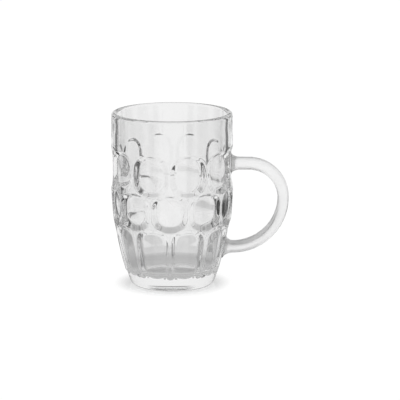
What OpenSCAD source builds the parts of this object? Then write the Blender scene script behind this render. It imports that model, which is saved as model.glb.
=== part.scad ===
// Dimpled glass beer mug: a pressed barrel with two rows of ovals over a row of
// tall flutes, and a rod handle that was formed by itself and fused on while hot.
// Each oval has a low round crown inside a groove, and so has each flute.
// Millimetres. The mug stands on z = 0, the barrel's axis is Z and the handle
// reaches out along +X.

/* [Barrel] */
// Height from the table to the top of the lip
mug_h = 130; // [120:1:150]
// Outer radius at the belly, the widest place
belly_r = 45.4; // [40:0.1:52]
// Height of the belly above the table
belly_h = 75; // [66:1:84]
// Radius of the long curve from the belly down to the foot
lower_curve_r = 215; // [190:5:300]
// Radius of the slight curve from the belly up to the lip
upper_curve_r = 2500; // [1500:100:5000]
// Thickness of the wall at the belly
wall_t = 5.6; // [4.5:0.1:7]
// Thickness of the solid glass under the drink
floor_t = 10; // [8:0.5:18]
// Rounding between the inner wall and the inner floor
inner_corner_r = 9; // [5:0.5:14]
// How much the inner wall opens from the belly to the mouth
mouth_draft = 0.3; // [0.1:0.1:1]

/* [Lip] */
// Height of the zone where the wall thins towards the lip
lip_h = 16; // [8:0.5:20]
// Thickness of the rounded lip
lip_t = 4.4; // [3.6:0.1:5]
// Width of the narrow flat on the crown of the lip
lip_flat_w = 0.3; // [0.2:0.1:0.6]

/* [Foot] */
// Rounding between the side and the underside
foot_corner_r = 4; // [2.5:0.5:5]
// Width of the flat ring that stands on the table
foot_ring_w = 3.5; // [2:0.5:6]
// Depth of the hollow inside the foot ring
foot_hollow_h = 1.6; // [0.8:0.1:3]

/* [Pattern] */
// Number of ovals in each row and of flutes round the barrel
cells = 10; // [8:1:12]
// Depth of the grooves round the ovals and along the ribs, below the barrel's outer curve
groove_d = 2.1; // [1.5:0.1:2.4]
// How far the middle of an oval rises above the groove round it
crown_rise = 0.7; // [0.3:0.1:1.2]
// Depth of the plain foot, the middle of the flutes and the handle's seats, below the barrel's outer curve
plain_d = 1.2; // [0.8:0.1:1.4]
// Width of an oval, measured along the belly
oval_w = 28; // [18:0.1:28.4]
// Height of an oval in the upper row
high_oval_h = 30.7; // [26:0.1:31]
// Height of an oval in the lower row
low_oval_h = 28.3; // [26:0.1:31]
// How far the top of one row reaches up between the next row's ovals
row_lap = 2; // [1:0.1:3]
// Width of an oval's groove at its sides, from the edge to the crown
groove_w = 4.2; // [3:0.1:5]
// Width of an oval's groove at its top
groove_top_w = 2.6; // [2:0.1:4]
// Width of the groove at the bottom of an upper oval
high_groove_low_w = 4; // [3.6:0.1:5.4]
// Width of the groove at the bottom of a lower oval
low_groove_low_w = 5; // [3.6:0.1:6]
// Height where the ribs between the flutes end in round nubs
rib_foot_h = 10; // [8:0.1:14]
// Height from the rib's foot to the arched top of a flute
flute_h = 39.4; // [34:0.1:41]
// Height of the arch at the top of a flute
flute_arch_h = 12; // [8:0.5:16]
// Width of the crest of a rib, half way up the flutes
rib_crest_w = 1.6; // [0.6:0.1:2.4]
// Width of the sloping flank at each side of a rib
rib_flank_w = 3.6; // [2:0.1:4.4]

/* [Handle] */
// Reach of the rod's centre line from the barrel's axis
handle_reach = 82.6; // [76:0.1:90]
// Height where the rod reaches furthest out
handle_mid_h = 66; // [62:1:68]
// Radius of the upper bend, on the centre line
upper_bend_r = 25.4; // [23:0.1:27]
// Radius of the lower bend, on the centre line
lower_bend_r = 38.1; // [36:0.1:40]
// Thickness of the rod along the top
rod_top_t = 8.8; // [8:0.1:11]
// Thickness of the rod where it reaches furthest out
rod_mid_t = 8.3; // [7:0.1:10]
// Thickness of the rod along the bottom
rod_low_t = 8.2; // [7:0.1:11]
// Width of the rod, across the plane of the loop
rod_w = 12.5; // [10:0.5:13]
// Height of the fused pad at the upper end
upper_pad_h = 14.5; // [13:0.5:16]
// Height of the fused pad at the lower end
lower_pad_h = 17; // [14:0.5:19]
// Width of both fused pads
pad_w = 16; // [14:0.5:17]
// Length over which the rod flares into a pad
flare_l = 6.5; // [4:0.5:9]

/* [Hidden] */
$fn = 96;

// Overrun of a cut past the face that it opens
overrun = 2;
// How far the raw rod ends lie below the barrel's face before they are trimmed
rod_root_d = 2.5;
// Exponent of the rod's outline: 2 is an ellipse, more is squarer
rod_power = 4;
// Exponent of the ovals' outline: 2 is an ellipse, more is squarer
oval_power = 2.6;
// Height over which a rib rounds off at its foot
nub_h = 2.6;
// Exponent of a groove's slope: 1 is straight, more is steeper at the edge
slope_power = 1.3;
// Share of a crown's half width over which it rises where the handle is fused on
seat_edge_share = 0.2;
// Share of half a cell at which the barrel's columns of facets stand
column_shares = [0, 0.07, 0.31, 0.5, 0.68, 0.93];
// Numbers of facets up the nub, flutes, arches, low grooves, low crowns, row lap, high grooves, high crowns,
// top grooves and smooth band
band_counts = [3, 3, 4, 3, 6, 2, 3, 6, 3, 2];
// Number of facets round the foot's corner and round each corner of the lip
corner_steps = 4;
// Numbers of facets round the inner corner, up the inner wall and up the thinning zone under the lip
inner_corner_steps = 10;
inner_wall_steps = 10;
mouth_steps = 6;
// Number of facets from the rim to the middle of the hollow under the foot
hollow_steps = 6;
// Numbers of facets round the rod, along each bend and along each flare
rod_sides = 28;
bend_steps = 14;
flare_steps = 6;

pitch_a = 360 / cells;
low_oval_lo = rib_foot_h + flute_h - row_lap;
low_oval_mid = low_oval_lo + low_oval_h / 2;
high_oval_lo = low_oval_lo + low_oval_h - row_lap;
high_oval_mid = high_oval_lo + high_oval_h / 2;
pattern_top = high_oval_lo + high_oval_h;
flute_top = rib_foot_h + flute_h;
flute_mid = rib_foot_h + flute_h / 2;

function squared(x) = x * x;
function arc_drop(radius, rise) = radius - sqrt(squared(radius) - squared(rise));
function degrees_of(arc_l, radius) = arc_l / radius * 180 / PI;
function share_of(t) = min(max(t, 0), 1);
function ease(t) = let (c = share_of(t)) c * c * (3 - 2 * c);
function blend(a, b, t) = a + (b - a) * t;

// Outer curve of the barrel before the pattern is pressed in, and the plain face of the foot and of the
// handle's seats
function envelope_r(z) = belly_r - arc_drop(z < belly_h ? lower_curve_r : upper_curve_r, z - belly_h);
function plain_r(z) = envelope_r(z) - plain_d;

// Depth of the pattern at the given angle and height
function from_cell(a, first_a) = abs((a - first_a + 360 + pitch_a / 2) % pitch_a - pitch_a / 2);
function rim_gap(u, v) = 1 - pow(pow(abs(u), oval_power) + pow(abs(v), oval_power), 1 / oval_power);
function slope(t) = 1 - pow(1 - share_of(t), slope_power);
function on_seat(a, first_a) = first_a == 0 && cos(a) > cos(pitch_a / 2);
function crown_at(gap, rise, flat) =
    flat ? (groove_d - plain_d) * share_of(gap / seat_edge_share) : rise * (1 - squared(1 - share_of(gap)));
function slope_share(gap, crown_gap) = crown_gap > 0 ? 1 : gap / (gap - crown_gap);
function oval_depth(a, z, first_a, mid, h, low_w) =
    let (
        across = from_cell(a, first_a) / degrees_of(1, belly_r),
        gap = rim_gap(across / (oval_w / 2), (z - mid) / (h / 2)),
        crown_mid = mid + (low_w - groove_top_w) / 2,
        crown_half_h = (h - low_w - groove_top_w) / 2,
        crown_gap = rim_gap(across / (oval_w / 2 - groove_w), (z - crown_mid) / crown_half_h)
    )
    gap > 0
        ? groove_d * slope(slope_share(gap, crown_gap)) - crown_at(crown_gap, crown_rise, on_seat(a, first_a))
        : 0;
flute_half_a = pitch_a / 2 - degrees_of(rib_crest_w / 2, envelope_r(flute_mid));
rib_flank_share = degrees_of(rib_flank_w, envelope_r(flute_mid)) / flute_half_a;
function arch_rise(z) = max(0, 1 - (flute_top - z) / flute_arch_h);
function flute_depth(a, z) =
    let (
        gap = rim_gap(from_cell(a, 0) / flute_half_a, arch_rise(z)),
        crown_gap = (gap - rib_flank_share) / (1 - rib_flank_share)
    )
    z < flute_top
        ? groove_d * slope(gap / rib_flank_share) - crown_at(crown_gap, groove_d - plain_d, on_seat(a, 0))
        : 0;
function pressed_depth(a, z) = max(
    oval_depth(a, z, 0, high_oval_mid, high_oval_h, high_groove_low_w),
    oval_depth(a, z, pitch_a / 2, low_oval_mid, low_oval_h, low_groove_low_w),
    flute_depth(a, z)
);
function foot_share(z) = ease((rib_foot_h + nub_h - z) / nub_h);
function barrel_r(a, z) = envelope_r(z) - blend(pressed_depth(a, z), plain_d, foot_share(z));

// Foot: a corner arc from the standing ring to the leaning side
foot_lean_a = asin((belly_h - foot_corner_r) / lower_curve_r);
foot_side_h = foot_corner_r * (1 - sin(foot_lean_a));
foot_ring_r = plain_r(foot_side_h) - foot_corner_r * cos(foot_lean_a);
foot_rings = [
    for (i = [0:corner_steps - 1])
        let (a = -90 + (90 - foot_lean_a) * i / corner_steps)
        [foot_ring_r + foot_corner_r * cos(a), foot_corner_r * (1 + sin(a))]
];

// Lip: round outside and inside, with a narrow flat between
lip_corner_r = (lip_t - lip_flat_w) / 2;
lip_side_h = mug_h - lip_corner_r;
lip_side_r = envelope_r(lip_side_h);
lip_rings = [
    for (i = [0:corner_steps])
        let (a = 90 * i / corner_steps)
        [lip_side_r - lip_corner_r * (1 - cos(a)), lip_side_h + lip_corner_r * sin(a)]
];

// Heights of the facet rings between the foot and the lip
band_levels = [
    rib_foot_h,
    rib_foot_h + nub_h,
    flute_top - flute_arch_h,
    low_oval_lo,
    low_oval_lo + low_groove_low_w,
    low_oval_lo + low_oval_h - groove_top_w,
    low_oval_lo + low_oval_h,
    high_oval_lo + high_groove_low_w,
    pattern_top - groove_top_w,
    pattern_top,
    lip_side_h
];
band_heights = [
    for (i = [0:len(band_counts) - 1])
        for (k = [0:band_counts[i] - 1])
            blend(band_levels[i], band_levels[i + 1], k / band_counts[i])
];
side_heights = concat([foot_side_h, (foot_side_h + rib_foot_h) / 2], band_heights);

// Angles of the facet columns, the same in each cell and mirrored about its middle
half_columns = len(column_shares);
cell_columns = 2 * half_columns;
column_count = cells * cell_columns;
cell_shares = concat(column_shares, [1], [for (i = [half_columns - 1:-1:1]) 2 - column_shares[i]]);
column_angles = [
    for (c = [0:cells - 1])
        for (share = cell_shares)
            pitch_a * (c + share / 2)
];

function ring(a, r, z) = [r * cos(a), r * sin(a), z];
barrel_points = concat(
    [for (p = foot_rings) for (a = column_angles) ring(a, p[0], p[1])],
    [for (z = side_heights) for (a = column_angles) ring(a, barrel_r(a, z), z)],
    [for (p = lip_rings) for (a = column_angles) ring(a, p[0], p[1])]
);

// Two triangles for each patch, with the diagonal mirrored in the second half of a cell
function patch(a, b, c, d, rising) = rising ? [[a, b, c], [a, c, d]] : [[a, b, d], [b, c, d]];
function wall_faces(rings, columns, cell) = [
    for (i = [0:rings - 2])
        for (k = [0:columns - 1])
            let (
                next = (k + 1) % columns,
                low = i * columns,
                high = low + columns
            )
            each patch(high + k, high + next, low + next, low + k, k % cell < cell / 2)
];
function cap_faces(rings, columns) = [
    [for (k = [0:columns - 1]) k],
    [for (k = [columns - 1:-1:0]) (rings - 1) * columns + k]
];

// Inner hollow: flat floor, round corner, wall, thinning lip and round inner lip
inner_curve_r = lower_curve_r - wall_t;
curve_axis_r = belly_r - lower_curve_r;
inner_corner_h = floor_t + inner_corner_r;
inner_lean_a = asin((belly_h - inner_corner_h) / (inner_curve_r - inner_corner_r));
inner_corner_axis_r = curve_axis_r + (inner_curve_r - inner_corner_r) * cos(inner_lean_a);
mouth_r = belly_r - wall_t + mouth_draft;
lip_inner_r = lip_side_r - lip_t;
lip_low_h = mug_h - lip_h;
hollow_outline = concat(
    [[0, floor_t]],
    [
        for (i = [0:inner_corner_steps])
            let (a = -90 + (90 - inner_lean_a) * i / inner_corner_steps)
            [inner_corner_axis_r + inner_corner_r * cos(a), inner_corner_h + inner_corner_r * sin(a)]
    ],
    [
        for (i = [1:inner_wall_steps])
            let (a = -inner_lean_a * (1 - i / inner_wall_steps))
            [curve_axis_r + inner_curve_r * cos(a), belly_h + inner_curve_r * sin(a)]
    ],
    [
        for (i = [0:mouth_steps])
            let (share = i / mouth_steps)
            [blend(mouth_r, lip_inner_r, ease(share)), blend(lip_low_h, lip_side_h, share)]
    ],
    [
        for (i = [1:corner_steps])
            let (a = 90 * i / corner_steps)
            [lip_inner_r + lip_corner_r * (1 - cos(a)), lip_side_h + lip_corner_r * sin(a)]
    ],
    [[lip_inner_r + lip_corner_r, mug_h + overrun], [0, mug_h + overrun]]
);

// Shallow hollow under the foot, deepest in the middle
foot_hollow_r = foot_ring_r - foot_ring_w;
foot_hollow_outline = concat(
    [[0, -overrun], [foot_hollow_r, -overrun]],
    [
        for (i = [0:hollow_steps])
            let (share = i / hollow_steps)
            [foot_hollow_r * (1 - share), foot_hollow_h * (1 - squared(1 - share))]
    ]
);

// Handle: centre line of a straight run, the upper bend and the lower bend
upper_run_h = handle_mid_h + upper_bend_r;
upper_bend_x = handle_reach - upper_bend_r;
lower_bend_x = handle_reach - lower_bend_r;
upper_face_x = plain_r(upper_run_h);
lower_face_x = plain_r(handle_mid_h - lower_bend_r);
lower_face_a = -90 - asin((lower_bend_x - lower_face_x) / lower_bend_r);
lower_root_a = lower_face_a - degrees_of(rod_root_d, lower_bend_r);
lower_flare_a = lower_face_a + degrees_of(flare_l, lower_bend_r);

// A station is the centre's place, the rod's direction, and half its thickness and width
function flared(rod, pad, l) = blend(pad, rod, sqrt(1 - squared(1 - min(max(l / flare_l, 0), 1)))) / 2;
function run_station(x) =
    let (l = x - upper_face_x)
    [[x, 0, upper_run_h], 90, flared(rod_top_t, upper_pad_h, l), flared(rod_w, pad_w, l)];
function bend_station(x, bend_r, a, t, pad_h, l) = [
    [x + bend_r * cos(a), 0, handle_mid_h + bend_r * sin(a)],
    a,
    flared(t, pad_h, l),
    flared(rod_w, pad_w, l)
];
function upper_station(a) =
    let (t = blend(rod_mid_t, rod_top_t, a / 90))
    bend_station(upper_bend_x, upper_bend_r, a, t, upper_pad_h, flare_l);
function lower_station(a) =
    let (
        t = blend(rod_mid_t, rod_low_t, min(1, -a / 90)),
        l = (a - lower_face_a) * PI / 180 * lower_bend_r
    )
    bend_station(lower_bend_x, lower_bend_r, a, t, lower_pad_h, l);
rod_stations = concat(
    [run_station(upper_face_x - rod_root_d)],
    [for (i = [0:flare_steps]) run_station(upper_face_x + flare_l * squared(i / flare_steps))],
    [for (i = [0:bend_steps]) upper_station(90 * (1 - i / bend_steps))],
    [for (i = [1:bend_steps]) lower_station(lower_flare_a * i / bend_steps)],
    [
        for (i = [1:flare_steps])
            lower_station(blend(lower_flare_a, lower_face_a, 1 - squared(1 - i / flare_steps)))
    ],
    [lower_station(lower_root_a)]
);
function squarer(share) = sign(share) * pow(abs(share), 2 / rod_power);
function rod_ring(s) = [
    for (k = [0:rod_sides - 1])
        let (a = 360 * k / rod_sides, out = s[2] * squarer(cos(a)))
        s[0] + [out * cos(s[1]), s[3] * squarer(sin(a)), out * sin(s[1])]
];
rod_points = [for (s = rod_stations) each rod_ring(s)];

module barrel_blank() {
    ring_count = len(barrel_points) / column_count;
    polyhedron(
        points = barrel_points,
        faces = concat(
            wall_faces(ring_count, column_count, cell_columns),
            cap_faces(ring_count, column_count)
        ),
        convexity = 6
    );
}

// Pressed glass barrel: ovals and flutes outside, smooth inside, solid base
module barrel() {
    color([0.86, 0.9, 0.91, 0.45])
    difference() {
        barrel_blank();
        rotate_extrude() polygon(hollow_outline);
        rotate_extrude() polygon(foot_hollow_outline);
    }
}

// Space inside the barrel's plain face, where the fused pads stop
module seat_core() {
    heights = [for (z = side_heights) if (z > foot_side_h) z];
    rotate_extrude()
    polygon(concat([[0, heights[0]]], [for (z = heights) [plain_r(z), z]], [[0, heights[len(heights) - 1]]]));
}

// Glass rod handle, flared into a pad at each end and trimmed to the barrel's face
module handle() {
    station_count = len(rod_stations);
    color([0.93, 0.95, 0.95, 0.6])
    difference() {
        polyhedron(
            points = rod_points,
            faces = concat(wall_faces(station_count, rod_sides, 1), cap_faces(station_count, rod_sides)),
            convexity = 4
        );
        seat_core();
    }
}

barrel();
handle();
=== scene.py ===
import math

import bpy
import numpy as np
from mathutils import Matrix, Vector


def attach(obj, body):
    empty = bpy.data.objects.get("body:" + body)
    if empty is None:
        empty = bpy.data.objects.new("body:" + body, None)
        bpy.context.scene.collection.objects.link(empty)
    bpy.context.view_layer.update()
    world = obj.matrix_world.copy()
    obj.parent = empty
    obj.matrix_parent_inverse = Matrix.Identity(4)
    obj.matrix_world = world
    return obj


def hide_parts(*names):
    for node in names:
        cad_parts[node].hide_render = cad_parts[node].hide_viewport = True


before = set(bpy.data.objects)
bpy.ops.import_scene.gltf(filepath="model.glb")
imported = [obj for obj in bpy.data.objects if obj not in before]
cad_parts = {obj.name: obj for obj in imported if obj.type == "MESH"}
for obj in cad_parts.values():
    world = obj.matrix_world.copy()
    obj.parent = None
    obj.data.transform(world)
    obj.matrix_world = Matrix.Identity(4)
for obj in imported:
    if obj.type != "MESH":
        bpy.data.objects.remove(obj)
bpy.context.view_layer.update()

MM = 0.001

# The barrel, in millimetres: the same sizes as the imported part
MUG_H = 130.0
BELLY_R = 45.4
BELLY_H = 75.0
LOWER_CURVE_R = 215.0
UPPER_CURVE_R = 2500.0
WALL_T = 5.6
FLOOR_T = 10.0
INNER_CORNER_R = 9.0
MOUTH_DRAFT = 0.3
LIP_H = 16.0
LIP_T = 4.4
FOOT_CORNER_R = 4.0
FOOT_RING_W = 3.5
FOOT_HOLLOW_H = 1.6
CELLS = 10
GROOVE_D = 2.1
CROWN_RISE = 0.7
PLAIN_D = 1.2
OVAL_W = 28.0
HIGH_OVAL_H = 30.7
LOW_OVAL_H = 28.3
ROW_LAP = 2.0
GROOVE_W = 4.2
GROOVE_TOP_W = 2.6
HIGH_GROOVE_LOW_W = 4.0
LOW_GROOVE_LOW_W = 5.0
SLOPE_POWER = 1.3
SEAT_EDGE_SHARE = 0.2
OVAL_POWER = 2.6
RIB_FOOT_H = 10.0
FLUTE_H = 39.4
FLUTE_ARCH_H = 12.0
RIB_CREST_W = 1.6
RIB_FLANK_W = 3.6
NUB_H = 2.6

# The handle
HANDLE_REACH = 82.6
HANDLE_MID_H = 66.0
UPPER_BEND_R = 25.4
LOWER_BEND_R = 38.1
ROD_TOP_T = 8.8
ROD_MID_T = 8.3
ROD_LOW_T = 8.2
ROD_W = 12.5
UPPER_PAD_H = 14.5
LOWER_PAD_H = 17.0
PAD_W = 16.0
FLARE_L = 6.5
SECTION_POWER = 4.0

# How finely the barrel and the rod are modelled: columns to a cell, the spacing of rings and stations in
# millimetres, steps round corners and bends, rings along the rest, and the shares at which rings fill a pad
CELL_COLUMNS = 36
RING_STEP = 0.75
UNDERSIDE_RINGS = 12
FOOT_STEPS = 12
LIP_STEPS = 18
FLARE_RINGS = 12
DRAFT_RINGS = 8
WALL_STEPS = 26
INNER_CORNER_STEPS = 16
FLOOR_RINGS = 4
ROD_SIDES = 72
ROD_STEP = 0.8
RUN_STATIONS = 12
FLARE_STATIONS = 24
PAD_RING_SHARES = (0.25, 0.5, 0.75)

# The camera, at the photograph's viewing angle: degrees, millimetres and the photograph's pixels
FRAME_PX = 400
CAMERA_AZIMUTH = 2.5
CAMERA_ELEVATION = 12.1
CAMERA_DISTANCE = 1500.0
FOCAL_PX = 2010.7
TARGET_H = 65.0
TARGET_PX = (172.26, 197.42)
SENSOR_W = 36.0
CLIP_NEAR = 50.0
CLIP_FAR = 20000.0

# The table top as the camera sees it: its shares of gloss go by millimetres from the mug's axis
FLOOR_HALF_W = 3000.0
FLOOR_PALE = 0.07
FLOOR_GLOW = 0.955
MIRROR_SHARES = [(28.0, 0.4), (46.0, 0.0)]
MIRROR_ROUGHNESS = 0.06

# The glass, with marks of making and use: lengths and heights in millimetres, tones and roughness as
# lowest and highest values, the noise values that stand for these, and the scale of the noise that draws
# the rod's lines
GLASS_IOR = 1.5
NOISE_RANGE = (0.3, 0.7)
CORD_L = 30.0
WAVE_L = 14.0
WAVE_H = 0.01
SCUFF_L = 0.8
SCUFF_H = 1.2
SCUFF_ROUGHNESS = 0.4
BARREL_TONES = (0.95, 0.97)
HANDLE_TONES = (0.95, 0.97)
HANDLE_ROUGHNESS = (0.28, 0.4)
DRAW_LINE_H = 0.01
DRAW_LINES = 5.0

# The studio that the glass shows: dark cards stand round it, a dark bar hangs before and behind it, and
# the table close by carries a painted shadow of the mug, greyest nearest it. Each list gives the tone, or the
# share of cards or bars, at its places.
# They go by degrees from the nearest of +Y and -Y for CARD_TONES and BAR_SHARES, by millimetres from the
# mug's axis for the table, and by degrees of rise for the rest
QUARTER = (0.0, 90.0)
RISES = (-90.0, 90.0)
TABLE_REACH = (0.0, 300.0)
CARD_TONES = [
    (0.0, 1.0),
    (30.0, 1.0),
    (33.0, 0.05),
    (43.0, 0.05),
    (45.0, 0.75),
    (54.0, 0.75),
    (56.0, 0.05),
    (81.0, 0.05),
    (84.0, 0.65),
    (90.0, 0.65),
]
CARD_SHARES = [(-90.0, 0.0), (-34.0, 0.0), (-22.0, 1.0), (2.0, 1.0), (8.0, 0.0), (90.0, 0.0)]
SKY_TONES = [(-90.0, 0.92), (20.0, 0.92), (45.0, 0.7), (90.0, 0.7)]
BAR_TONES = [(-90.0, 1.0), (10.0, 1.0), (12.5, 0.2), (18.0, 0.2), (20.5, 1.0), (90.0, 1.0)]
BAR_SHARES = [(0.0, 1.0), (12.0, 1.0), (27.0, 0.0), (90.0, 0.0)]
# The painted shadow of the mug on the table that the glass shows: tones by millimetres from the mug's axis,
# greyest close by
TABLE_SHADOW_TONES = [
    (0.0, 0.5),
    (55.0, 0.5),
    (75.0, 0.58),
    (95.0, 0.72),
    (114.0, 0.69),
    (121.0, 0.86),
    (150.0, 0.87),
    (180.0, 0.92),
    (300.0, 0.92),
]
TABLE_END = [(180.0, 0.0), (260.0, 1.0)]
TABLE_CARD_SHARES = [(42.0, 0.0), (60.0, 0.55), (110.0, 0.55), (150.0, 1.0)]
BOUNCES = 24
GLOSS_BOUNCES = 16


def smooth(t):
    t = np.clip(t, 0.0, 1.0)
    return t * t * (3.0 - 2.0 * t)


def arc_drop(radius, rise):
    return radius - np.sqrt(radius**2 - rise**2)


def envelope_r(z):
    return BELLY_R - np.where(
        z < BELLY_H, arc_drop(LOWER_CURVE_R, z - BELLY_H), arc_drop(UPPER_CURVE_R, z - BELLY_H)
    )


PITCH = 2 * math.pi / CELLS
FLUTE_TOP = RIB_FOOT_H + FLUTE_H
LOW_OVAL_MID = FLUTE_TOP - ROW_LAP + LOW_OVAL_H / 2
HIGH_OVAL_MID = FLUTE_TOP - 2 * ROW_LAP + LOW_OVAL_H + HIGH_OVAL_H / 2
FLUTE_MID_R = float(envelope_r(RIB_FOOT_H + FLUTE_H / 2))


def from_cell(a, first):
    return np.abs((a - first + PITCH / 2) % PITCH - PITCH / 2)


def rim_gap(u, v):
    return 1.0 - (np.abs(u) ** OVAL_POWER + np.abs(v) ** OVAL_POWER) ** (1.0 / OVAL_POWER)


def slope(t):
    """Share of the full depth down a groove's slope."""
    return 1.0 - (1.0 - np.clip(t, 0.0, 1.0)) ** SLOPE_POWER


def on_seat(a, first):
    return (first == 0) & (np.cos(a) > math.cos(PITCH / 2))


def crowned_depth(share, crown_gap, rise, flat):
    """The depth in a groove and on its crown, which is flat and at the plain depth where the handle sits."""
    g = np.clip(crown_gap, 0.0, 1.0)
    seat = (GROOVE_D - PLAIN_D) * np.minimum(1.0, g / SEAT_EDGE_SHARE)
    return GROOVE_D * slope(share) - np.where(flat, seat, rise * (1.0 - (1.0 - g) ** 2))


def oval_depth(a, z, first, mid, height, low_w):
    across = from_cell(a, first) * BELLY_R
    gap = rim_gap(across / (OVAL_W / 2), (z - mid) / (height / 2))
    crown_mid = mid + (low_w - GROOVE_TOP_W) / 2
    crown_h = height - low_w - GROOVE_TOP_W
    crown_gap = rim_gap(across / (OVAL_W / 2 - GROOVE_W), (z - crown_mid) / (crown_h / 2))
    share = np.where(crown_gap > 0, 1.0, gap / np.maximum(gap - crown_gap, 1e-9))
    return crowned_depth(share, crown_gap, CROWN_RISE, on_seat(a, first))


def flute_depth(a, z):
    half_a = PITCH / 2 - RIB_CREST_W / 2 / FLUTE_MID_R
    flank = RIB_FLANK_W / FLUTE_MID_R / half_a
    rise = np.maximum(0.0, 1.0 - (FLUTE_TOP - z) / FLUTE_ARCH_H)
    gap = rim_gap(from_cell(a, 0) / half_a, rise)
    crown_gap = (gap - flank) / (1.0 - flank)
    depth = crowned_depth(gap / flank, crown_gap, GROOVE_D - PLAIN_D, on_seat(a, 0))
    return np.where(z < FLUTE_TOP, depth, 0.0)


def pattern_depth(a, z):
    high = oval_depth(a, z, 0, HIGH_OVAL_MID, HIGH_OVAL_H, HIGH_GROOVE_LOW_W)
    low = oval_depth(a, z, PITCH / 2, LOW_OVAL_MID, LOW_OVAL_H, LOW_GROOVE_LOW_W)
    pressed = np.maximum.reduce([high, low, flute_depth(a, z)])
    return pressed + (PLAIN_D - pressed) * smooth((RIB_FOOT_H + NUB_H - z) / NUB_H)


def arc(center, radius, start, end, steps):
    a = np.radians(np.linspace(start, end, steps + 1))
    return np.stack([center[0] + radius * np.cos(a), center[1] + radius * np.sin(a)], axis=1)


def barrel_outline():
    """The barrel's half section, from under its middle to the inner floor, and which rings are patterned."""
    lean = math.asin((BELLY_H - FOOT_CORNER_R) / LOWER_CURVE_R)
    foot_side_h = FOOT_CORNER_R * (1 - math.sin(lean))
    ring_r = float(envelope_r(foot_side_h)) - PLAIN_D - FOOT_CORNER_R * math.cos(lean)
    hollow_r = ring_r - FOOT_RING_W
    share = np.linspace(0.0, 1.0, UNDERSIDE_RINGS + 1)[1:]
    underside = np.stack([hollow_r * share, FOOT_HOLLOW_H * (1 - share**2)], axis=1)
    foot = arc((ring_r, FOOT_CORNER_R), FOOT_CORNER_R, -90, -math.degrees(lean), FOOT_STEPS)[:-1]
    lip_r = LIP_T / 2
    lip_side_h = MUG_H - lip_r
    z = np.linspace(foot_side_h, lip_side_h, int((lip_side_h - foot_side_h) / RING_STEP) + 1)
    side = np.stack([envelope_r(z), z], axis=1)
    lip_side_r = float(envelope_r(lip_side_h))
    lip = arc((lip_side_r - lip_r, lip_side_h), lip_r, 0, 180, LIP_STEPS)[1:]
    mouth_r = BELLY_R - WALL_T + MOUTH_DRAFT
    t = np.linspace(0.0, 1.0, FLARE_RINGS + 1)[1:]
    flare = np.stack(
        [
            lip_side_r - LIP_T + (mouth_r - lip_side_r + LIP_T) * smooth(t),
            lip_side_h + (MUG_H - LIP_H - lip_side_h) * t,
        ],
        axis=1,
    )
    inner_r = LOWER_CURVE_R - WALL_T
    axis_r = BELLY_R - LOWER_CURVE_R
    corner_h = FLOOR_T + INNER_CORNER_R
    inner_lean = math.asin((BELLY_H - corner_h) / (inner_r - INNER_CORNER_R))
    corner_r = axis_r + (inner_r - INNER_CORNER_R) * math.cos(inner_lean)
    t = np.linspace(0.0, 1.0, DRAFT_RINGS + 1)[1:]
    draft = np.stack(
        [mouth_r - MOUTH_DRAFT * t, MUG_H - LIP_H + (BELLY_H - MUG_H + LIP_H) * t], axis=1
    )
    start = -math.degrees(inner_lean)
    wall = arc((axis_r, BELLY_H), inner_r, 0, start, WALL_STEPS)[1:]
    corner = arc((corner_r, corner_h), INNER_CORNER_R, start, -90, INNER_CORNER_STEPS)[1:]
    t = np.linspace(1.0, 0.0, FLOOR_RINGS + 1)[1:-1]
    floor = np.stack([corner_r * t, np.full(len(t), FLOOR_T)], axis=1)
    parts = [underside, foot, side, lip, flare, draft, wall, corner, floor]
    patterned = np.concatenate([np.full(len(p), p is side) for p in parts])
    return np.concatenate(parts), patterned


def lathe(outline, patterned, low, high):
    """A closed mesh of rings round the axis, with one point at each end."""
    columns = CELLS * CELL_COLUMNS
    a = np.linspace(0.0, 2 * math.pi, columns, endpoint=False)
    r = np.repeat(outline[:, :1], columns, axis=1)
    z = np.repeat(outline[:, 1:], columns, axis=1)
    pressed = pattern_depth(a[None, :], z)
    r = np.where(patterned[:, None], r - pressed, r)
    points = np.stack([r * np.cos(a), r * np.sin(a), z], axis=2).reshape(-1, 3)
    points = np.concatenate([points, [[0, 0, low], [0, 0, high]]])
    rings = len(outline)
    i, k = np.meshgrid(np.arange(rings - 1), np.arange(columns), indexing="ij")
    n = (k + 1) % columns
    low_row, high_row = i * columns, (i + 1) * columns
    quads = np.stack([low_row + k, low_row + n, high_row + n, high_row + k], axis=2).reshape(-1, 4)
    first, last = rings * columns, rings * columns + 1
    k = np.arange(columns)
    n = (k + 1) % columns
    bottom = np.stack([n, k, np.full(columns, first)], axis=1)
    k, n = first - columns + k, first - columns + n
    top = np.stack([k, n, np.full(columns, last)], axis=1)
    return points, quads.tolist() + bottom.tolist() + top.tolist()


def make_mesh(name, points, faces):
    mesh = bpy.data.meshes.new(name)
    mesh.from_pydata((np.asarray(points) * MM).tolist(), [], faces)
    mesh.validate()
    mesh.shade_smooth()
    obj = bpy.data.objects.new(name, mesh)
    bpy.context.scene.collection.objects.link(obj)
    return obj


def make_barrel():
    outline, patterned = barrel_outline()
    points, faces = lathe(outline, patterned, FOOT_HOLLOW_H, FLOOR_T)
    obj = make_mesh("barrel_glass", points, faces)
    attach(obj, "root")
    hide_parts("barrel")
    return obj


def blend(a, b, t):
    return a + (b - a) * t


def flared(rod, pad, distance):
    t = np.clip(distance / FLARE_L, 0.0, 1.0)
    return blend(pad, rod, np.sqrt(1.0 - (1.0 - t) ** 2)) / 2


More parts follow.
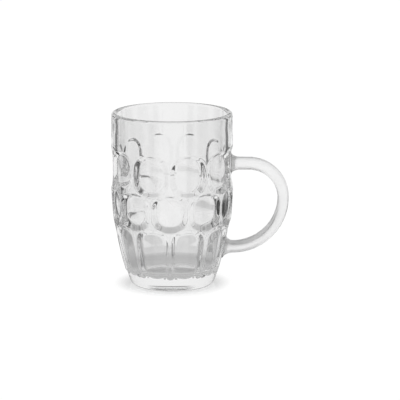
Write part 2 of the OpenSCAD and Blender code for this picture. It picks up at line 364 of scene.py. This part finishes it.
def rod_stations():
    """Places along the rod's centre line: x, z, direction angle, half thickness and half width."""
    run_h = HANDLE_MID_H + UPPER_BEND_R
    face_x = float(envelope_r(run_h)) - PLAIN_D
    bend_x = HANDLE_REACH - UPPER_BEND_R
    t = np.linspace(0.0, 1.0, FLARE_STATIONS)
    straight = np.linspace(face_x + FLARE_L, bend_x, RUN_STATIONS)[1:-1]
    x = np.concatenate([face_x + FLARE_L * t**2, straight])
    run = np.stack(
        [
            x,
            np.full(len(x), run_h),
            np.full(len(x), math.pi / 2),
            flared(ROD_TOP_T, UPPER_PAD_H, x - face_x),
            flared(ROD_W, PAD_W, x - face_x),
        ],
        axis=1,
    )
    steps = int(UPPER_BEND_R * math.pi / 2 / ROD_STEP)
    a = np.linspace(math.pi / 2, 0.0, steps + 1)
    upper = np.stack(
        [
            bend_x + UPPER_BEND_R * np.cos(a),
            HANDLE_MID_H + UPPER_BEND_R * np.sin(a),
            a,
            blend(ROD_MID_T, ROD_TOP_T, a / (math.pi / 2)) / 2,
            np.full(len(a), ROD_W / 2),
        ],
        axis=1,
    )
    bend_x = HANDLE_REACH - LOWER_BEND_R
    low_face_x = float(envelope_r(HANDLE_MID_H - LOWER_BEND_R)) - PLAIN_D
    face_a = -math.pi / 2 - math.asin((bend_x - low_face_x) / LOWER_BEND_R)
    flare_a = face_a + FLARE_L / LOWER_BEND_R
    steps = int(LOWER_BEND_R * -flare_a / ROD_STEP)
    t = np.linspace(0.0, 1.0, FLARE_STATIONS)[1:]
    a = np.concatenate([np.linspace(0.0, flare_a, steps + 1)[1:], blend(flare_a, face_a, 1 - (1 - t) ** 2)])
    away = (a - face_a) * LOWER_BEND_R
    rod_t = blend(ROD_MID_T, ROD_LOW_T, np.minimum(1.0, -a / (math.pi / 2)))
    lower = np.stack(
        [
            bend_x + LOWER_BEND_R * np.cos(a),
            HANDLE_MID_H + LOWER_BEND_R * np.sin(a),
            a,
            flared(rod_t, LOWER_PAD_H, away),
            flared(ROD_W, PAD_W, away),
        ],
        axis=1,
    )
    return np.concatenate([run, upper, lower])


def rounded(share):
    return np.sign(share) * np.abs(share) ** (2 / SECTION_POWER)


def rod_ring(x, z, turn, half_t, half_w, a):
    out = half_t * rounded(np.cos(a))
    across = half_w * rounded(np.sin(a))
    return np.stack([x + out * math.cos(turn), across, z + out * math.sin(turn)], axis=1)


def seat(points):
    """Moves a ring of points along X to the barrel's face under the handle."""
    z, y = points[:, 2], points[:, 1]
    r = envelope_r(z) - PLAIN_D
    return np.stack([np.sqrt(r**2 - y**2), y, z], axis=1)


def make_handle():
    a = np.linspace(0.0, 2 * math.pi, ROD_SIDES, endpoint=False)
    rings = [rod_ring(*s, a) for s in rod_stations()]
    rings[0] = seat(rings[0])
    rings[-1] = seat(rings[-1])
    ends = []
    for ring in (rings[0], rings[-1]):
        middle = ring.mean(axis=0)
        caps = [seat(blend(ring, middle, t)) for t in PAD_RING_SHARES]
        ends.append((caps, seat(middle[None, :])))
    stack = list(reversed(ends[0][0])) + rings + ends[1][0]
    points = np.concatenate(stack + [ends[0][1], ends[1][1]])
    n = len(stack)
    faces = []
    for low in range(0, (n - 1) * ROD_SIDES, ROD_SIDES):
        high = low + ROD_SIDES
        for k in range(ROD_SIDES):
            m = (k + 1) % ROD_SIDES
            faces.append([low + k, high + k, high + m, low + m])
    first, last = n * ROD_SIDES, n * ROD_SIDES + 1
    end = first - ROD_SIDES
    for k in range(ROD_SIDES):
        m = (k + 1) % ROD_SIDES
        faces.append([k, m, first])
        faces.append([end + m, end + k, last])
    obj = make_mesh("handle_glass", points, faces)
    along = np.repeat(np.linspace(0.0, 1.0, n), ROD_SIDES)
    around = np.tile(a, n)
    places = np.stack([np.cos(around), np.sin(around), along], axis=1)
    places = np.concatenate([places, [[0, 0, 0], [0, 0, 1]]])
    stored = obj.data.attributes.new("rod_place", "FLOAT_VECTOR", "POINT")
    stored.data.foreach_set("vector", places.astype(np.float32).ravel())
    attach(obj, "root")
    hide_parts("handle")
    return obj


def make_camera():
    azimuth, elevation = math.radians(CAMERA_AZIMUTH), math.radians(CAMERA_ELEVATION)
    level = Vector((math.sin(azimuth), -math.cos(azimuth), 0.0)) * math.cos(elevation)
    back = level + Vector((0.0, 0.0, math.sin(elevation)))
    right = Vector((math.cos(azimuth), math.sin(azimuth), 0.0))
    up = back.cross(right)
    target = Vector((0.0, 0.0, TARGET_H))
    location = target + back * CAMERA_DISTANCE
    per_px = CAMERA_DISTANCE / FOCAL_PX
    aim = target + right * (FRAME_PX / 2 - TARGET_PX[0]) * per_px
    aim += up * (TARGET_PX[1] - FRAME_PX / 2) * per_px
    data = bpy.data.cameras.new("camera")
    data.sensor_width = SENSOR_W
    data.lens = SENSOR_W * FOCAL_PX / FRAME_PX
    data.clip_start = CLIP_NEAR * MM
    data.clip_end = CLIP_FAR * MM
    obj = bpy.data.objects.new("camera", data)
    obj.location = location * MM
    obj.rotation_mode = "QUATERNION"
    obj.rotation_quaternion = (aim - location).to_track_quat("-Z", "Y")
    bpy.context.scene.collection.objects.link(obj)
    bpy.context.scene.camera = obj


def new_node(tree, kind, **settings):
    node = tree.nodes.new("ShaderNode" + kind)
    for key, value in settings.items():
        setattr(node, key, value)
    return node


def math_node(tree, operation, *values):
    """A Math node whose inputs are numbers or other nodes' sockets; gives its output socket."""
    node = new_node(tree, "Math", operation=operation)
    for socket, value in zip(node.inputs, values):
        if isinstance(value, (int, float)):
            socket.default_value = value
        else:
            tree.links.new(value, socket)
    return node.outputs[0]


def ramp_node(tree, value, span, stops):
    """A tone that follows a value through (place, tone) stops over a span from its low to its high end."""
    low, high = span
    scaled = new_node(tree, "MapRange")
    tree.links.new(value, scaled.inputs["Value"])
    scaled.inputs["From Min"].default_value = low
    scaled.inputs["From Max"].default_value = high
    ramp = new_node(tree, "ValToRGB")
    ramp.color_ramp.interpolation = "EASE"
    elements = ramp.color_ramp.elements
    while len(elements) < len(stops):
        elements.new(0.5)
    for element, (place, tone) in zip(elements, stops):
        element.position = (place - low) / (high - low)
        element.color = (tone, tone, tone, 1.0)
    tree.links.new(scaled.outputs["Result"], ramp.inputs["Fac"])
    return ramp.outputs["Color"]


def noise_node(tree, place, scale):
    noise = new_node(tree, "TexNoise")
    noise.inputs["Scale"].default_value = scale
    tree.links.new(place, noise.inputs["Vector"])
    return noise.outputs["Fac"]


def spread(tree, value, low, high):
    """A noise value, spread from its usual range to the range from low to high."""
    node = new_node(tree, "MapRange")
    tree.links.new(value, node.inputs["Value"])
    for name, number in zip(("From Min", "From Max", "To Min", "To Max"), (*NOISE_RANGE, low, high)):
        node.inputs[name].default_value = number
    return node.outputs["Result"]


def glass_material(name, tones, place_of, wave_scale, wave_h, roughness_of):
    """Clear glass with slow changes of tone, a wavy face and a roughness that a function makes."""
    material = bpy.data.materials.new(name)
    material.use_nodes = True
    tree = material.node_tree
    shader = tree.nodes["Principled BSDF"]
    shader.inputs["Transmission Weight"].default_value = 1.0
    shader.inputs["IOR"].default_value = GLASS_IOR
    object_place = new_node(tree, "TexCoord").outputs["Object"]
    tone = spread(tree, noise_node(tree, object_place, 1 / (CORD_L * MM)), *tones)
    tree.links.new(tone, shader.inputs["Base Color"])
    bump = new_node(tree, "Bump")
    bump.inputs["Distance"].default_value = wave_h * MM
    tree.links.new(noise_node(tree, place_of(tree, object_place), wave_scale), bump.inputs["Height"])
    tree.links.new(bump.outputs["Normal"], shader.inputs["Normal"])
    tree.links.new(roughness_of(tree, object_place), shader.inputs["Roughness"])
    return material


def barrel_place(tree, object_place):
    """The barrel's waves lie in all directions."""
    return object_place


def foot_scuffs(tree, object_place):
    """Roughness where the standing ring rubs on tables, in fine patches."""
    split = new_node(tree, "SeparateXYZ")
    tree.links.new(object_place, split.inputs[0])
    height = math_node(tree, "MULTIPLY", split.outputs["Z"], 1 / MM)
    near = ramp_node(tree, height, (0.0, SCUFF_H), [(0.0, 1.0), (SCUFF_H, 0.0)])
    patches = spread(tree, noise_node(tree, object_place, 1 / (SCUFF_L * MM)), 0.0, SCUFF_ROUGHNESS)
    return math_node(tree, "MULTIPLY", near, patches)


def rod_place(tree, object_place):
    """The place round and along the rod that make_handle stored: the rod's waves are lines drawn along it."""
    return new_node(tree, "Attribute", attribute_name="rod_place").outputs["Vector"]


def rod_roughness(tree, object_place):
    return spread(tree, noise_node(tree, object_place, 1 / (WAVE_L * MM)), *HANDLE_ROUGHNESS)


def seen_through_glass(tree):
    """One for rays that have just left glass or a gloss, zero for all others."""
    path = new_node(tree, "LightPath")
    return math_node(tree, "MAXIMUM", path.outputs["Is Glossy Ray"], path.outputs["Is Transmission Ray"])


def quarter_degrees(tree, x, y):
    """How far the direction x, y from the mug is turned from +Y or -Y, up to a right angle."""
    azimuth = math_node(tree, "ARCTAN2", x, y)
    turn = math_node(tree, "PINGPONG", azimuth, math.pi / 2)
    return math_node(tree, "DEGREES", turn)


def toned(tree, tone, share):
    """A tone that counts only as far as its share says, and is white otherwise."""
    dark = math_node(tree, "MULTIPLY", math_node(tree, "SUBTRACT", 1.0, tone), share)
    return math_node(tree, "SUBTRACT", 1.0, dark)


def make_floor():
    mesh = bpy.data.meshes.new("floor")
    half = FLOOR_HALF_W * MM
    corners = [(-half, -half, 0), (half, -half, 0), (half, half, 0), (-half, half, 0)]
    mesh.from_pydata(corners, [], [(0, 1, 2, 3)])
    obj = bpy.data.objects.new("floor", mesh)
    bpy.context.scene.collection.objects.link(obj)
    material = bpy.data.materials.new("floor")
    material.use_nodes = True
    tree = material.node_tree
    tree.nodes.clear()
    diffuse = new_node(tree, "BsdfDiffuse")
    diffuse.inputs["Color"].default_value = (FLOOR_PALE, FLOOR_PALE, FLOOR_PALE, 1.0)
    glow = new_node(tree, "Emission")
    glow.inputs["Strength"].default_value = FLOOR_GLOW
    pale = new_node(tree, "AddShader")
    tree.links.new(diffuse.outputs[0], pale.inputs[0])
    tree.links.new(glow.outputs[0], pale.inputs[1])
    split = new_node(tree, "SeparateXYZ")
    tree.links.new(new_node(tree, "NewGeometry").outputs["Position"], split.inputs[0])
    x, y = split.outputs["X"], split.outputs["Y"]
    squares = [math_node(tree, "MULTIPLY", v, v) for v in (x, y)]
    reach = math_node(tree, "MULTIPLY", math_node(tree, "SQRT", math_node(tree, "ADD", *squares)), 1 / MM)
    card = ramp_node(tree, quarter_degrees(tree, x, y), QUARTER, CARD_TONES)
    cards = toned(tree, card, ramp_node(tree, reach, TABLE_REACH, TABLE_CARD_SHARES))
    # What rays from the glass see on the table: a glow with a painted shadow of the mug, greyest close by,
    # darkened further by the cards
    tone = math_node(tree, "MULTIPLY", ramp_node(tree, reach, TABLE_REACH, TABLE_SHADOW_TONES), cards)
    table_with_painted_shadow = new_node(tree, "Emission")
    tree.links.new(tone, table_with_painted_shadow.inputs["Strength"])
    clear = new_node(tree, "BsdfTransparent")
    table = new_node(tree, "MixShader")
    tree.links.new(ramp_node(tree, reach, TABLE_REACH, TABLE_END), table.inputs[0])
    tree.links.new(table_with_painted_shadow.outputs[0], table.inputs[1])
    tree.links.new(clear.outputs[0], table.inputs[2])
    mirror = new_node(tree, "BsdfGlossy")
    mirror.inputs["Roughness"].default_value = MIRROR_ROUGHNESS
    polished = new_node(tree, "MixShader")
    tree.links.new(ramp_node(tree, reach, TABLE_REACH, MIRROR_SHARES), polished.inputs[0])
    tree.links.new(pale.outputs[0], polished.inputs[1])
    tree.links.new(mirror.outputs[0], polished.inputs[2])
    mixed = new_node(tree, "MixShader")
    tree.links.new(seen_through_glass(tree), mixed.inputs[0])
    tree.links.new(polished.outputs[0], mixed.inputs[1])
    tree.links.new(table.outputs[0], mixed.inputs[2])
    out = new_node(tree, "OutputMaterial")
    tree.links.new(mixed.outputs[0], out.inputs["Surface"])
    obj.data.materials.append(material)


def make_world():
    world = bpy.data.worlds.new("world")
    bpy.context.scene.world = world
    world.use_nodes = True
    tree = world.node_tree
    background = tree.nodes["Background"]
    split = new_node(tree, "SeparateXYZ")
    tree.links.new(new_node(tree, "TexCoord").outputs["Generated"], split.inputs[0])
    rise = math_node(tree, "DEGREES", math_node(tree, "ARCSINE", split.outputs["Z"]))
    turn = quarter_degrees(tree, split.outputs["X"], split.outputs["Y"])
    card = ramp_node(tree, turn, QUARTER, CARD_TONES)
    cards = toned(tree, card, ramp_node(tree, rise, RISES, CARD_SHARES))
    bar = ramp_node(tree, rise, RISES, BAR_TONES)
    bars = toned(tree, bar, ramp_node(tree, turn, QUARTER, BAR_SHARES))
    sky = ramp_node(tree, rise, RISES, SKY_TONES)
    studio = math_node(tree, "MULTIPLY", math_node(tree, "MULTIPLY", cards, bars), sky)
    mixed = new_node(tree, "Mix", data_type="FLOAT")
    tree.links.new(seen_through_glass(tree), mixed.inputs[0])
    mixed.inputs[2].default_value = 1.0
    tree.links.new(studio, mixed.inputs[3])
    tree.links.new(mixed.outputs[0], background.inputs["Strength"])
    background.inputs["Color"].default_value = (1, 1, 1, 1)


scene = bpy.context.scene
scene.view_settings.view_transform = "Standard"
scene.cycles.max_bounces = BOUNCES
scene.cycles.transmission_bounces = BOUNCES
scene.cycles.glossy_bounces = GLOSS_BOUNCES
make_camera()
barrel = make_barrel()
handle = make_handle()
barrel.data.materials.append(
    glass_material("barrel_glass", BARREL_TONES, barrel_place, 1 / (WAVE_L * MM), WAVE_H, foot_scuffs)
)
handle.data.materials.append(
    glass_material("handle_glass", HANDLE_TONES, rod_place, DRAW_LINES, DRAW_LINE_H, rod_roughness)
)
make_floor()
make_world()
